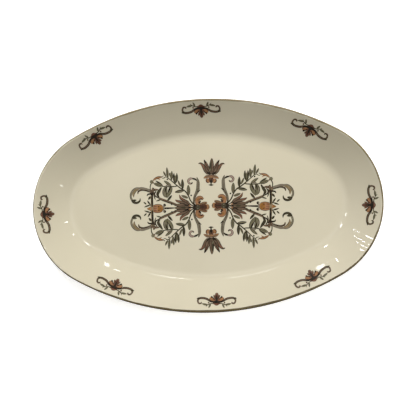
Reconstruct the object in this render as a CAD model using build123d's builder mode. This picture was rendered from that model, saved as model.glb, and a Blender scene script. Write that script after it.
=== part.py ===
from build123d import *
import os
from math import atan2, cos, degrees, hypot, radians, sin

# An oval china serving platter: a fired clay body on a foot ring, a glaze over it, a
# brush line on the lip, and the transfers laid on the glaze.
# Millimetres. +X is along the length, +Z is up, and the origin is on the table under
# the middle. A section is given by u, the distance in from the outside of the lip,
# and z, the height above the table.

# The outline of the glazed lip, an oval of four tangent arcs.
LENGTH = 390
WIDTH = 238
END_RADIUS = 92

# The section.
FOOT_HEIGHT = 3.0
BASE_THICKNESS = 4.6
FLOOR_EDGE = 44.0
FILLET_RADIUS = 22.0
SLOPE_LOW = 32.0
SLOPE_HIGH = 40.5
LIP_RADIUS = 1.75
FOOT_OUTER = 50.0
FOOT_INNER = 55.0
FOOT_TAPER = 0.9
SECTION_END = 60.0
SLAB_EDGE = 58.0

# The layers on the clay. The glaze ends GLAZE_STOP above the table, and the band covers
# the lip from one angle to the other, counted inwards from straight up.
GLAZE = 0.35
GLAZE_STOP = 0.8
TRANSFER = 0.2
BAND = 0.15
BAND_INNER_ANGLE = 30.0
BAND_OUTER_ANGLE = -80.0

# The four arcs: where each is centred, its radius, and the angles that it covers.
half_length = LENGTH / 2
half_width = WIDTH / 2
end_x = half_length - END_RADIUS
side_radius = (half_length**2 + half_width**2 - 2 * half_length * END_RADIUS) / (
    2 * (half_width - END_RADIUS)
)
side_y = side_radius - half_width
turn = degrees(atan2(side_y, end_x))
SECTORS = {
    "right": (end_x, 0, END_RADIUS, -turn, 2 * turn),
    "upper": (0, -side_y, side_radius, turn, 180 - 2 * turn),
    "left": (-end_x, 0, END_RADIUS, 180 - turn, 2 * turn),
    "lower": (0, side_y, side_radius, 180 + turn, 180 - 2 * turn),
}

# The arcs of the section.
floor_z = FOOT_HEIGHT + BASE_THICKNESS
fillet_centre = (FLOOR_EDGE, floor_z + FILLET_RADIUS)
slope_low = radians(SLOPE_LOW)
slope_high = radians(SLOPE_HIGH)
wall_start = (
    fillet_centre[0] - FILLET_RADIUS * sin(slope_low),
    fillet_centre[1] - FILLET_RADIUS * cos(slope_low),
)
wall_radius = (wall_start[0] - LIP_RADIUS * (1 + sin(slope_high))) / (
    sin(slope_high) - sin(slope_low)
)
wall_centre = (
    wall_start[0] + wall_radius * sin(slope_low),
    wall_start[1] + wall_radius * cos(slope_low),
)
lip_centre = (
    LIP_RADIUS,
    wall_centre[1] - (wall_radius + LIP_RADIUS) * cos(slope_high),
)
height = lip_centre[1] + LIP_RADIUS

# The underside leaves the base as steeply as the wall above it, and its slope where it
# meets the lip follows from that.
under_radius = FILLET_RADIUS + BASE_THICKNESS
under_start = (
    fillet_centre[0] - under_radius * sin(slope_low),
    fillet_centre[1] - under_radius * cos(slope_low),
)
under_chord = atan2(lip_centre[1] - under_start[1], under_start[0] - lip_centre[0])
slope_under = 2 * under_chord - slope_low


# The transfers on the floor: where the point is that each is drawn about, the way its
# own +X points, and its size. They were laid by hand, so they are a little off the
# middle and not quite square to it.
FLOOR_SPRAYS = {
    "centre_spray_right": (5.6, 0.35, -2.5, 0.996),
    "centre_spray_left": (4.1, -1.25, 180.2, 0.983),
}
TULIPS = {
    "tulip_upper": (4.8, 0.7, -2.7, 0.982),
    "tulip_lower": (4.1, -1.55, 181.0, 0.981),
}

# Their drawing. A stroke is (points, width at its start, width at its end), a leaf is
# (base, tip, width) and a dot is (place, diameter). One half is drawn and mirrored,
# and what lies on the middle line is drawn once.
SPRAY_STROKES = [
    ([(18.8, 2), (19, 7), (18, 12), (16, 15.6), (14.2, 19.5), (13.5, 25), (14.6, 34)], 3.4, 1.6),
    ([(14.6, 33), (18, 33.6), (22, 34), (24.4, 32.4), (24.8, 29.8), (23.4, 28), (21, 28.3)], 1.8, 1.2),
    ([(18.6, 1), (22.4, 8), (25, 14), (31, 21.2), (38, 26.4), (46, 33.8), (51.6, 37.4)], 1.8, 0.9),
    ([(38, 25.6), (46, 25.4), (56, 25.8)], 1.2, 1.0),
    ([(55.4, 36.8), (60, 36.4), (64, 35), (67.6, 32.6)], 2.0, 1.4),
    ([(37.6, 1.2), (46, 5.8), (56, 10), (62.4, 13.4), (68.2, 18)], 2.6, 2.2),
    ([(68, 19), (75, 22.6), (84, 24), (90.6, 19.8), (92.8, 13.6), (90.6, 8.6), (86.6, 8), (84, 10)], 3.6, 2),
    ([(70, 17), (76, 19.6), (82, 20.4), (85.4, 17.4)], 1.6, 1.4),
    ([(13.6, 3), (15.4, 6.5), (14.6, 10), (11.4, 11.6), (8.4, 9.8)], 4.6, 1.6),
]
SPRAY_LEAVES = [
    ((0.8, 0), (22, 0), 10),
    ((24.8, 13.4), (24.9, 26.6), 3.8),
    ((24.4, 10.8), (33.4, 14.3), 3.0),
    ((29.6, 19.6), (41, 19), 3.6),
    ((31.8, 20.8), (31.9, 33.2), 3.6),
    ((33.8, 22.8), (36.8, 32.2), 2.6),
    ((39.6, 27.2), (39.6, 40.8), 5.0),
    ((44.4, 31.8), (43.9, 43.3), 3.2),
    ((48.2, 35), (49.6, 47.7), 3.2),
    ((49.8, 35.8), (53.6, 43.2), 2.2),
    ((44.4, 25.4), (53, 31.7), 3.6),
    ((54.6, 25.4), (65.6, 29.2), 5.6),
    ((43.6, 25.4), (50.8, 12.1), 4.2),
    ((50.6, 25.6), (55, 14.2), 4.8),
    ((56.2, 25.8), (60.4, 12), 4.2),
    ((50, 7.4), (44.6, 15), 2.6),
    ((68, 14.6), (72.8, 11), 2.6),
    ((22, 0.5), (36.4, 14.6), 4.6),
    ((24, 0.5), (40.8, 9.4), 4.2),
    ((24, 0.5), (42, 3.8), 3.6),
]
SPRAY_DOTS = [((68, 31.6), 4.0), ((67.2, 21.2), 6.2), ((53.6, 2.4), 3.4), ((22.2, 13.4), 1.8)]
SPRAY_MIDDLE_STROKES = [
    ([(68.2, -19), (68.2, 0), (68.2, 19)], 2.6, 2.6),
    ([(38, 0), (47, 0), (58, 0)], 2.0, 2.0),
]
SPRAY_MIDDLE_LEAVES = [((54.5, 0), (75, 0), 10.2)]
TULIP_STROKES = [([(0, 22.5), (0, 29), (0, 35)], 2.4, 3.0), ([(1, 27), (6, 28.5), (8.6, 33)], 3.0, 2.2)]
TULIP_LEAVES = [((1.5, 30), (15, 48), 5.0), ((1, 30), (9, 53), 5.0)]
TULIP_MIDDLE_LEAVES = [((0, 29), (0, 54.5), 6.0)]
TULIP_FOOT = ([(-2.8, 22.5), (0, 22), (2.8, 22.5)], 1.6, 1.6)

# The sprays on the wall: the arc each is on, its angle about that arc's centre, how far
# in from the lip's outside its knot is, and how it leans, also laid by hand. A spray is
# drawn with +X along the rim and +Y outwards.
RIM_SPRAYS = {
    "rim_spray_right": ("right", -3.7, 10.6, -0.5),
    "rim_spray_upper_right": ("upper", 65.8, 10.3, -3),
    "rim_spray_upper": ("upper", 90.4, 8.9, 0),
    "rim_spray_upper_left": ("upper", 115.1, 8.8, 5),
    "rim_spray_left": ("left", 183.7, 10.0, 0),
    "rim_spray_lower_left": ("lower", 248.9, 9.4, -1),
    "rim_spray_lower": ("lower", 271.9, 10.1, -2.5),
    "rim_spray_lower_right": ("lower", 293.7, 9.8, 2),
}
RIM_ARM = [(1.5, -1.2), (6, -1.9), (10, -3.6), (14, -5.1), (18.5, -5.2), (20.9, -3.2)]
RIM_CURL = [(20.9, -3.2), (20.9, -0.6), (19.4, 0.8), (17.6, 0.2), (17.4, -0.8)]
RIM_STROKES = [
    (RIM_ARM, 2.4, 2.0),
    (RIM_CURL, 2.0, 1.2),
    ([(2.5, 1.4), (6, 1), (10, 2.2)], 1.0, 1.0),
]
RIM_LEAVES = [
    ((7.2, 1.2), (7.9, 6.3), 2.2),
    ((9.4, 2.3), (16.4, 1.4), 2.2),
    ((2, -1), (6.6, -7.4), 4.6),
]
RIM_MIDDLE_LEAVES = [((0, 3.6), (0.2, -11.4), 7.5)]
# Half the length of wall that a spray is cut from.
SPRAY_ROOM = 25


def on_slope(centre, radius, slope):
    """The point of an arc where the section has this slope, below the arc's centre."""
    return (centre[0] - radius * sin(slope), centre[1] - radius * cos(slope))


def dish_points(skin):
    """The dish side of the section, from the floor to the lip, moved out by skin."""
    middle = (slope_low + slope_high) / 2
    return {
        "floor": (FLOOR_EDGE, floor_z + skin),
        "fillet": on_slope(fillet_centre, FILLET_RADIUS - skin, slope_low / 2),
        "low": on_slope(fillet_centre, FILLET_RADIUS - skin, slope_low),
        "wall": on_slope(wall_centre, wall_radius - skin, middle),
        "high": on_slope(wall_centre, wall_radius - skin, slope_high),
    }


def under_points(skin):
    """The underside of the section, from the lip to the base, moved out by skin."""
    return {
        "lip": (lip_centre[0] - LIP_RADIUS - skin, lip_centre[1]),
        "high": on_slope(lip_centre, LIP_RADIUS + skin, slope_under),
        "low": on_slope(fillet_centre, under_radius + skin, slope_low),
        "fillet": on_slope(fillet_centre, under_radius + skin, slope_low / 2),
        "base": (FLOOR_EDGE, FOOT_HEIGHT - skin),
    }


def draw_surface(rim, skin):
    """The section's line from the floor's edge, over the lip, to the edge of the base."""

    def at(point):
        return (rim - point[0], point[1])

    dish = {name: at(point) for name, point in dish_points(skin).items()}
    under = {name: at(point) for name, point in under_points(skin).items()}
    ThreePointArc(dish["floor"], dish["fillet"], dish["low"])
    ThreePointArc(dish["low"], dish["wall"], dish["high"])
    ThreePointArc(dish["high"], under["lip"], under["high"])
    TangentArc(under["low"], under["high"], tangent=(cos(slope_low), sin(slope_low)))
    ThreePointArc(under["low"], under["fillet"], under["base"])


def clay_section(rim):
    """The clay from the lip in to the base, with the foot ring under it."""
    top = floor_z - GLAZE
    bottom = FOOT_HEIGHT + GLAZE
    draw_surface(rim, -GLAZE)
    Polyline(
        (rim - FLOOR_EDGE, bottom),
        (rim - FOOT_OUTER - GLAZE, bottom),
        (rim - FOOT_OUTER - GLAZE - FOOT_TAPER, 0),
        (rim - FOOT_INNER + GLAZE + FOOT_TAPER, 0),
        (rim - FOOT_INNER + GLAZE, bottom),
        (rim - SECTION_END, bottom),
        (rim - SECTION_END, top),
        (rim - FLOOR_EDGE, top),
    )


def foot_side(edge, inward):
    """How far in the clay side of the glaze on the foot ring is, at its top and its end."""
    bottom = FOOT_HEIGHT + GLAZE
    drop = FOOT_TAPER * (1 - GLAZE_STOP / bottom)
    clay_top = edge + inward * GLAZE
    clay_end = clay_top + inward * drop
    return clay_top, clay_end


def glaze_section(rim):
    """The glaze over the dish, the lip and the underside, down the foot's outer side."""
    clay_top, clay_end = foot_side(FOOT_OUTER, 1)
    draw_surface(rim, 0)
    draw_surface(rim, -GLAZE)
    Polyline(
        (rim - FLOOR_EDGE, floor_z),
        (rim - SECTION_END, floor_z),
        (rim - SECTION_END, floor_z - GLAZE),
        (rim - FLOOR_EDGE, floor_z - GLAZE),
    )
    Polyline(
        (rim - FLOOR_EDGE, FOOT_HEIGHT),
        (rim - FOOT_OUTER, FOOT_HEIGHT),
        (rim - clay_end + GLAZE, GLAZE_STOP),
        (rim - clay_end, GLAZE_STOP),
        (rim - clay_top, FOOT_HEIGHT + GLAZE),
        (rim - FLOOR_EDGE, FOOT_HEIGHT + GLAZE),
    )


def recess_section(rim):
    """The glaze inside the foot ring, down the ring's inner side."""
    clay_top, clay_end = foot_side(FOOT_INNER, -1)
    Polyline(
        (rim - SECTION_END, FOOT_HEIGHT),
        (rim - FOOT_INNER, FOOT_HEIGHT),
        (rim - clay_end - GLAZE, GLAZE_STOP),
        (rim - clay_end, GLAZE_STOP),
        (rim - clay_top, FOOT_HEIGHT + GLAZE),
        (rim - SECTION_END, FOOT_HEIGHT + GLAZE),
        close=True,
    )


def band_section(rim):
    """The brush line, a thin ring over the crest of the lip."""
    angles = (BAND_INNER_ANGLE, (BAND_INNER_ANGLE + BAND_OUTER_ANGLE) / 2, BAND_OUTER_ANGLE)

    def on_lip(radius, angle):
        inward = lip_centre[0] + radius * sin(radians(angle))
        return (rim - inward, lip_centre[1] + radius * cos(radians(angle)))

    inner = [on_lip(LIP_RADIUS, angle) for angle in angles]
    outer = [on_lip(LIP_RADIUS + BAND, angle) for angle in angles]
    ThreePointArc(*inner)
    ThreePointArc(*outer)
    Line(inner[0], outer[0])
    Line(inner[-1], outer[-1])


def wall_section(rim):
    """A thin layer on the sloping wall, as thick as a transfer."""
    inner = dish_points(0)
    outer = dish_points(TRANSFER)
    names = ("low", "wall", "high")
    lower = [(rim - inner[name][0], inner[name][1]) for name in names]
    upper = [(rim - outer[name][0], outer[name][1]) for name in names]
    ThreePointArc(*lower)
    ThreePointArc(*upper)
    Line(lower[0], upper[0])
    Line(lower[-1], upper[-1])


def revolve_part(draw_section, sector, start, span):
    """Turn a section about one arc's centre, from the angle start through span."""
    x, y, rim = SECTORS[sector][:3]
    lead = radians(start)
    section_plane = Plane((x, y, 0), (cos(lead), sin(lead), 0), (sin(lead), -cos(lead), 0))
    with BuildSketch(section_plane) as section_face:
        with BuildLine():
            draw_section(rim)
        make_face()
    revolve(section_face.sketch, axis=Axis((x, y, 0), (0, 0, 1)), revolution_arc=span)


def revolve_oval(draw_section):
    """Carry a section all the way round the oval."""
    for sector, (_, _, _, start, span) in SECTORS.items():
        revolve_part(draw_section, sector, start, span)


def draw_oval(inset):
    """The outline of the platter, moved in by inset, as a face."""
    with BuildLine() as outline:
        for x, y, radius, start, span in SECTORS.values():
            CenterArc((x, y), radius - inset, start, span)
    make_face(outline.edges())


def slab(bottom, thickness):
    """A flat layer across the middle of the platter."""
    with BuildSketch(Plane.XY.offset(bottom)) as layer:
        draw_oval(SLAB_EDGE)
    extrude(layer.sketch, amount=thickness)


def save(builder, name):
    """Label a finished piece and write its file."""
    builder.part.label = name
    export_step(builder.part, f"parts/{name}.step")


def stroke(points, start_width, end_width):
    """A brush stroke along points, its width changing evenly from end to end."""
    last = len(points) - 1
    near_side = []
    far_side = []
    for index, (x, y) in enumerate(points):
        before = points[max(index - 1, 0)]
        after = points[min(index + 1, last)]
        run = hypot(after[0] - before[0], after[1] - before[1])
        half = (start_width + (end_width - start_width) * index / last) / 2 / run
        across = ((before[1] - after[1]) * half, (after[0] - before[0]) * half)
        near_side.append((x + across[0], y + across[1]))
        far_side.append((x - across[0], y - across[1]))
    with BuildLine() as outline:
        Spline(*near_side)
        Spline(*far_side)
        Line(near_side[0], far_side[0])
        Line(near_side[-1], far_side[-1])
    make_face(outline.edges())


def leaf(base, tip, width):
    """A pointed oval from base to tip."""
    length = hypot(tip[0] - base[0], tip[1] - base[1])
    middle = ((base[0] + tip[0]) / 2, (base[1] + tip[1]) / 2)
    across = (
        (base[1] - tip[1]) * width / 2 / length,
        (tip[0] - base[0]) * width / 2 / length,
    )
    with BuildLine() as outline:
        ThreePointArc(base, (middle[0] + across[0], middle[1] + across[1]), tip)
        ThreePointArc(base, (middle[0] - across[0], middle[1] - across[1]), tip)
    make_face(outline.edges())


def draw_ornament(strokes, leaves, dots=()):
    """Every stroke, leaf and dot of a list."""
    for points, start_width, end_width in strokes:
        stroke(points, start_width, end_width)
    for base, tip, width in leaves:
        leaf(base, tip, width)
    for place, diameter in dots:
        with Locations(place):
            Circle(diameter / 2)


def floor_plane(x, y, angle):
    """A plane on the floor about a point, with its +X at an angle to the platter's."""
    return Plane((x, y, floor_z), (cos(radians(angle)), sin(radians(angle)), 0), (0, 0, 1))


os.makedirs("parts", exist_ok=True)

with BuildPart() as china_body:
    revolve_oval(clay_section)
    slab(FOOT_HEIGHT + GLAZE, BASE_THICKNESS - 2 * GLAZE)
save(china_body, "china_body")

with BuildPart() as dish_glaze:
    revolve_oval(glaze_section)
    slab(floor_z - GLAZE, GLAZE)
save(dish_glaze, "dish_glaze")

with BuildPart() as base_glaze:
    revolve_oval(recess_section)
    slab(FOOT_HEIGHT, GLAZE)
save(base_glaze, "base_glaze")

with BuildPart() as lip_band:
    revolve_oval(band_section)
save(lip_band, "lip_band")

for name, (x, y, angle, size) in FLOOR_SPRAYS.items():
    with BuildPart() as spray:
        with BuildSketch(floor_plane(x, y, angle)):
            draw_ornament(SPRAY_STROKES, SPRAY_LEAVES, SPRAY_DOTS)
            mirror(about=Plane.XZ)
            draw_ornament(SPRAY_MIDDLE_STROKES, SPRAY_MIDDLE_LEAVES)
            scale(by=size)
        extrude(amount=TRANSFER)
    save(spray, name)

for name, (x, y, angle, size) in TULIPS.items():
    with BuildPart() as tulip:
        with BuildSketch(floor_plane(x, y, angle)):
            draw_ornament(TULIP_STROKES, TULIP_LEAVES)
            mirror(about=Plane.YZ)
            draw_ornament([TULIP_FOOT], TULIP_MIDDLE_LEAVES)
            scale(by=size)
        extrude(amount=TRANSFER)
    save(tulip, name)

for name, (sector, angle, inset, lean) in RIM_SPRAYS.items():
    x, y, rim = SECTORS[sector][:3]
    lead = radians(angle)
    knot = (x + (rim - inset) * cos(lead), y + (rim - inset) * sin(lead), 0)
    along = radians(angle - 90 + lean)
    half_span = degrees(SPRAY_ROOM / rim)
    with BuildPart() as rim_spray:
        revolve_part(wall_section, sector, angle - half_span, 2 * half_span)
        with BuildSketch(Plane(knot, (cos(along), sin(along), 0), (0, 0, 1))):
            draw_ornament(RIM_STROKES, RIM_LEAVES)
            mirror(about=Plane.YZ)
            draw_ornament([], RIM_MIDDLE_LEAVES)
        extrude(amount=height, mode=Mode.INTERSECT)
    save(rim_spray, name)
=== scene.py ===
"""An oval china serving platter, seen from almost straight above on a pale floor.

The ornament and the section are drawn in millimetres, as in the CAD, and turned into
metres where a mesh is made.
"""

import math

import bpy
import numpy as np
from mathutils import Matrix, Vector


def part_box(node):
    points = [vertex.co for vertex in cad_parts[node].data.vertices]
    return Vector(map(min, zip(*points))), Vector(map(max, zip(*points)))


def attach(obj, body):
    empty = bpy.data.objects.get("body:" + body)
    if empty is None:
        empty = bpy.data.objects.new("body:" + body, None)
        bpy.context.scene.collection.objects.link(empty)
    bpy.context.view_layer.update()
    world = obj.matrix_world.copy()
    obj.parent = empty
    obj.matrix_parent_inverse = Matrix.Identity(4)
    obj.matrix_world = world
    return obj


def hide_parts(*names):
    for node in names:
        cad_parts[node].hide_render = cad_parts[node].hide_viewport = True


MM = 0.001

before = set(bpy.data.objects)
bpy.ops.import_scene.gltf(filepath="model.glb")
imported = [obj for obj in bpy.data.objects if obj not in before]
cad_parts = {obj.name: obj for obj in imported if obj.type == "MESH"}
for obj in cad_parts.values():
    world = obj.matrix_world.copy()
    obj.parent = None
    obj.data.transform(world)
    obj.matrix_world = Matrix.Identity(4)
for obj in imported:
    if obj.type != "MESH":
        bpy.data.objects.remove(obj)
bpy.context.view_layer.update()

# ---------------------------------------------------------------------------
# The platter's shape: the same oval and section as the CAD's, read off its nodes
# where they give them.

glaze_low, glaze_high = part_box("dish_glaze")
HALF_LENGTH = glaze_high.x / MM
HALF_WIDTH = glaze_high.y / MM
LIP_TOP = glaze_high.z / MM
FLOOR_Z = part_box("centre_spray_right")[0].z / MM
GLAZE_END = glaze_low.z / MM

# Radius of the oval's two tight end arcs.
END_RADIUS = 92.0
# The section's arcs and slopes, and the foot ring.
FOOT_HEIGHT = 3.0
GLAZE = 0.35
FLOOR_EDGE = 44.0
FILLET_RADIUS = 22.0
SLOPE_LOW = math.radians(32.0)
SLOPE_HIGH = math.radians(40.5)
LIP_RADIUS = 1.75
FOOT_OUTER = 50.0
FOOT_SLANT = 0.685
# Where the section ends on the floor and the flat grid across the oval begins.
SECTION_END = 58.0
# How much lower the fired dish lies than the drawn one, so that its lip isn't too high.
SAG = 0.08

# Centres of the oval's arcs, and the direction in which they meet.
END_X = HALF_LENGTH - END_RADIUS
SIDE_RADIUS = (HALF_LENGTH**2 + HALF_WIDTH**2 - 2 * HALF_LENGTH * END_RADIUS) / (
    2 * (HALF_WIDTH - END_RADIUS)
)
SIDE_Y = SIDE_RADIUS - HALF_WIDTH
TURN = math.atan2(SIDE_Y, END_X)

# Arcs of the section, with u counted in from the outside of the lip.
BASE_THICKNESS = FLOOR_Z - FOOT_HEIGHT
FILLET_CENTRE = (FLOOR_EDGE, FLOOR_Z + FILLET_RADIUS)
WALL_START_U = FLOOR_EDGE - FILLET_RADIUS * math.sin(SLOPE_LOW)
WALL_START_Z = FILLET_CENTRE[1] - FILLET_RADIUS * math.cos(SLOPE_LOW)
WALL_END_U = LIP_RADIUS * (1 + math.sin(SLOPE_HIGH))
WALL_RADIUS = (WALL_START_U - WALL_END_U) / (math.sin(SLOPE_HIGH) - math.sin(SLOPE_LOW))
WALL_CENTRE = (
    WALL_START_U + WALL_RADIUS * math.sin(SLOPE_LOW),
    WALL_START_Z + WALL_RADIUS * math.cos(SLOPE_LOW),
)
LIP_CENTRE = (LIP_RADIUS, WALL_CENTRE[1] - (WALL_RADIUS + LIP_RADIUS) * math.cos(SLOPE_HIGH))
UNDER_RADIUS = FILLET_RADIUS + BASE_THICKNESS
UNDER_START = (
    FILLET_CENTRE[0] - UNDER_RADIUS * math.sin(SLOPE_LOW),
    FILLET_CENTRE[1] - UNDER_RADIUS * math.cos(SLOPE_LOW),
)
UNDER_CHORD = math.atan2(LIP_CENTRE[1] - UNDER_START[1], UNDER_START[0] - LIP_CENTRE[0])
SLOPE_UNDER = 2 * UNDER_CHORD - SLOPE_LOW

# Faces along the section's arcs, round the oval, where they are about 2.5 mm long at the
# rim, and across the floor, more on the glaze than under it.
DISH_STEPS = 14
LIP_STEPS = 22
UNDER_STEPS = 12
UNDER_FILLET_STEPS = 8
END_STEPS = 80
SIDE_STEPS = 120
FLOOR_ROWS = 40
UNDER_ROWS = 8


def oval_columns():
    """Centre and outward direction of every column round the oval, from +X, turning left."""
    columns = []
    arcs = [
        (END_X, 0, END_RADIUS, -TURN, TURN, END_STEPS),
        (0, -SIDE_Y, SIDE_RADIUS, TURN, math.pi - TURN, SIDE_STEPS),
        (-END_X, 0, END_RADIUS, math.pi - TURN, math.pi + TURN, END_STEPS),
        (0, SIDE_Y, SIDE_RADIUS, math.pi + TURN, 2 * math.pi - TURN, SIDE_STEPS),
    ]
    for x, y, radius, start, end, steps in arcs:
        for step in range(steps):
            angle = start + (end - start) * step / steps
            columns.append((x, y, radius, math.cos(angle), math.sin(angle)))
    half_end = END_STEPS // 2
    return columns[half_end:] + columns[:half_end]


COLUMNS = oval_columns()


def ring(u):
    """The oval moved in by u, as points in plan."""
    return [(x + (r - u) * c, y + (r - u) * s) for x, y, r, c, s in COLUMNS]


def inset_of(x, y):
    """How far in from the lip's outside each point in plan is."""
    x = np.abs(np.asarray(x, float))
    y = np.abs(np.asarray(y, float))
    at_end = np.arctan2(y, x - END_X) < TURN
    from_end = END_RADIUS - np.hypot(x - END_X, y)
    from_side = SIDE_RADIUS - np.hypot(x, y + SIDE_Y)
    return np.where(at_end, from_end, from_side)


def warp(x, y):
    """The slight unevenness that firing leaves in the dish, in mm of height."""
    return (
        0.10 * np.sin(x / 31.0 + 0.7) * np.cos(y / 24.0 - 0.4)
        + 0.045 * np.sin(x / 17.0 - y / 22.0 + 2.1)
        + 0.016 * np.cos(x / 11.0 + y / 13.0)
        - SAG
    )


def dish_height(x, y):
    """Height of the glazed dish above each point in plan."""
    u = inset_of(x, y)
    fillet = FILLET_CENTRE[1] - np.sqrt(
        np.maximum(FILLET_RADIUS**2 - np.clip(FLOOR_EDGE - u, 0, None) ** 2, 0)
    )
    wall = WALL_CENTRE[1] - np.sqrt(WALL_RADIUS**2 - (WALL_CENTRE[0] - u) ** 2)
    lip = LIP_CENTRE[1] + np.sqrt(np.maximum(LIP_RADIUS**2 - (u - LIP_RADIUS) ** 2, 0))
    height = np.where(u > WALL_START_U, fillet, np.where(u > WALL_END_U, wall, lip))
    return height + warp(x, y)


def arc_points(centre, radius, start, end, steps):
    """Points of an arc of the section, by the section's slope below the arc's centre."""
    slopes = np.linspace(start, end, steps + 1)
    return [(centre[0] - radius * math.sin(a), centre[1] - radius * math.cos(a)) for a in slopes]


def dish_profile(skin):
    """The dish side of the section, from the floor's edge to the lip's highest slope."""
    fillet = arc_points(FILLET_CENTRE, FILLET_RADIUS - skin, 0, SLOPE_LOW, DISH_STEPS)
    wall = arc_points(WALL_CENTRE, WALL_RADIUS - skin, SLOPE_LOW, SLOPE_HIGH, DISH_STEPS)
    return fillet + wall[1:]


def lip_profile(skin):
    """Over the lip, from its inner side to its underside."""
    start = math.pi + SLOPE_HIGH
    return arc_points(LIP_CENTRE, LIP_RADIUS + skin, start, SLOPE_UNDER, LIP_STEPS)[1:]


def under_profile(skin):
    """The underside, from the lip to the edge of the base."""
    high = (
        LIP_CENTRE[0] - (LIP_RADIUS + skin) * math.sin(SLOPE_UNDER),
        LIP_CENTRE[1] - (LIP_RADIUS + skin) * math.cos(SLOPE_UNDER),
    )
    low = (
        FILLET_CENTRE[0] - (UNDER_RADIUS + skin) * math.sin(SLOPE_LOW),
        FILLET_CENTRE[1] - (UNDER_RADIUS + skin) * math.cos(SLOPE_LOW),
    )
    half_bow = math.atan2(high[1] - low[1], low[0] - high[0]) - SLOPE_LOW
    radius = math.dist(high, low) / 2 / math.sin(half_bow)
    centre = (low[0] + radius * math.sin(SLOPE_LOW), low[1] + radius * math.cos(SLOPE_LOW))
    wall = arc_points(centre, radius, SLOPE_LOW + 2 * half_bow, SLOPE_LOW, UNDER_STEPS)
    fillet = arc_points(FILLET_CENTRE, UNDER_RADIUS + skin, SLOPE_LOW, 0, UNDER_FILLET_STEPS)
    return wall[1:] + fillet[1:]


def glaze_loop():
    """The glaze's section: its free side from the floor's edge to the foot, and back."""
    foot_free = [
        (FOOT_OUTER, FOOT_HEIGHT),
        (FOOT_OUTER + FOOT_SLANT, GLAZE_END),
        (FOOT_OUTER + FOOT_SLANT + GLAZE, GLAZE_END),
        (FOOT_OUTER + GLAZE, FOOT_HEIGHT + GLAZE),
    ]
    free_side = dish_profile(0) + lip_profile(0) + under_profile(0)
    clay_side = dish_profile(-GLAZE) + lip_profile(-GLAZE) + under_profile(-GLAZE)
    return free_side + foot_free + clay_side[::-1]


def new_object(name, vertices, faces, rounded=True):
    """A mesh object from points in mm."""
    mesh = bpy.data.meshes.new(name)
    mesh.from_pydata([(x * MM, y * MM, z * MM) for x, y, z in vertices], [], faces)
    mesh.validate()
    mesh.update()
    if rounded:
        mesh.shade_smooth()
    else:
        mesh.shade_flat()
    piece = bpy.data.objects.new(name, mesh)
    bpy.context.scene.collection.objects.link(piece)
    return piece


def join_rings(rings, count):
    """Quads between neighbouring rings of count points each."""
    faces = []
    for k in range(rings - 1):
        low = k * count
        for i in range(count):
            j = (i + 1) % count
            faces.append((low + i, low + j, low + count + j, low + count + i))
    return faces


def floor_patch(vertices, faces, start, z, rows, up):
    """Closes the ring that starts at a vertex with a flat grid across the oval."""
    count = len(COLUMNS)
    half = count // 2
    lines = []
    for i in range(1, half):
        first = vertices[start + i]
        last = vertices[start + count - i]
        line = [start + i]
        for j in range(1, rows):
            share = j / rows
            x = first[0] + (last[0] - first[0]) * share
            y = first[1] + (last[1] - first[1]) * share
            line.append(len(vertices))
            vertices.append((x, y, z + float(warp(x, y))))
        line.append(start + count - i)
        lines.append(line)
    patch = []
    for near, far in zip(lines, lines[1:]):
        for j in range(rows):
            patch.append((near[j], far[j], far[j + 1], near[j + 1]))
    for j in range(rows):
        patch.append((start, lines[0][j], lines[0][j + 1]))
        patch.append((start + half, lines[-1][j + 1], lines[-1][j]))
    faces.extend(face if up else face[::-1] for face in patch)


def glazed_dish():
    """The glaze over the dish, the lip and the outside, as one closed skin."""
    loop = glaze_loop()
    section = [(SECTION_END, FLOOR_Z)] + loop + [(SECTION_END, FLOOR_Z - GLAZE)]
    count = len(COLUMNS)
    vertices = []
    for u, z in section:
        share = min(max((z - FOOT_HEIGHT) / BASE_THICKNESS, 0), 1)
        for x, y in ring(u):
            vertices.append((x, y, z + share * float(warp(x, y))))
    faces = [face[::-1] for face in join_rings(len(section), count)]
    under_start = (len(section) - 1) * count
    floor_patch(vertices, faces, 0, FLOOR_Z, FLOOR_ROWS, True)
    floor_patch(vertices, faces, under_start, FLOOR_Z - GLAZE, UNDER_ROWS, False)
    return new_object("glazed_dish", vertices, faces)


# ---------------------------------------------------------------------------
# Materials. Each is a Principled shader with its colour, roughness and bump from noise,
# whose scales are per metre.

GLAZE_IOR = 1.5
# How fast the lip line's tone drifts from the painted shade at the front to its own olive at the
# back.
SHADE_DRIFT_PER_METRE = 4.0


def srgb(red, green, blue):
    """A colour given by its screen values, 0 to 255, as linear light."""

    def linear(value):
        value /= 255
        return value / 12.92 if value <= 0.04045 else ((value + 0.055) / 1.055) ** 2.4

    return (linear(red), linear(green), linear(blue), 1)


def mixed_noise(nodes, links, scale, low, high):
    """A colour that drifts between two as noise of one scale does, in object space."""
    noise = nodes.new("ShaderNodeTexNoise")
    noise.inputs["Scale"].default_value = scale
    noise.inputs["Detail"].default_value = 3
    ramp = nodes.new("ShaderNodeValToRGB")
    ramp.color_ramp.elements[0].position = 0.3
    ramp.color_ramp.elements[0].color = low
    ramp.color_ramp.elements[1].position = 0.7
    ramp.color_ramp.elements[1].color = high
    coordinates = nodes.new("ShaderNodeTexCoord")
    links.new(coordinates.outputs["Object"], noise.inputs["Vector"])
    links.new(noise.outputs["Fac"], ramp.inputs["Fac"])
    return ramp.outputs["Color"]


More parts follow.
